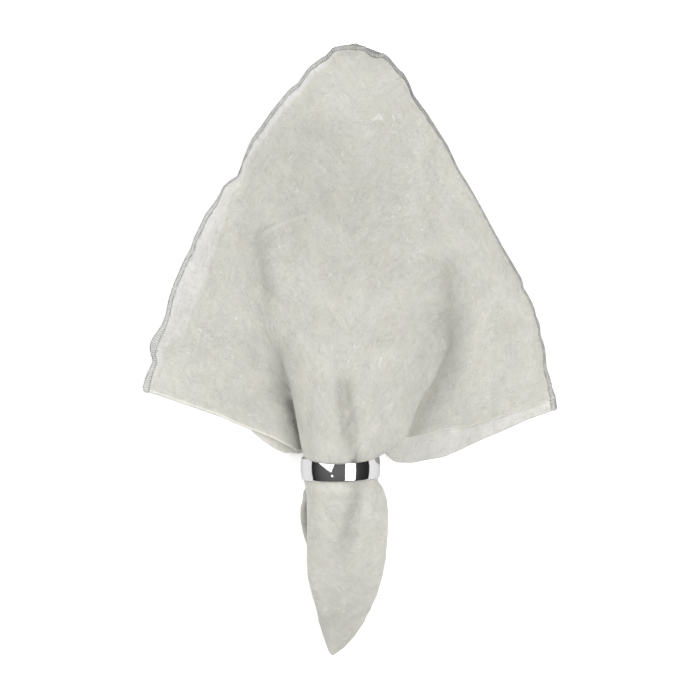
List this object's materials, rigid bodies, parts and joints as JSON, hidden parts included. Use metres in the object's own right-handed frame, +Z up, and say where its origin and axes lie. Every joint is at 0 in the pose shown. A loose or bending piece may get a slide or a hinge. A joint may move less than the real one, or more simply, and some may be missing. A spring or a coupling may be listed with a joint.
{
  "type": "linen napkin in a ring",
  "caption": "Square linen table napkin folded in quarters, its closed corner drawn through a plain metal napkin ring and its loose corners fanned out on the table.",
  "frame": {"origin": "on the table, under the middle of the bounding box", "axes": "+Y runs from the tail below the ring to the loose corners, +X to the right-hand wing as seen from above, +Z up from the table"},
  "size_m": [0.2102, 0.3136, 0.04],
  "materials": {
    "linen": "plain weave linen, light warm grey, matt, a little sheer in one layer",
    "ring": "mirror polished"
  },
  "bodies": {
    "root": {"napkin": "linen", "ring": "ring"}
  },
  "joints": []
}
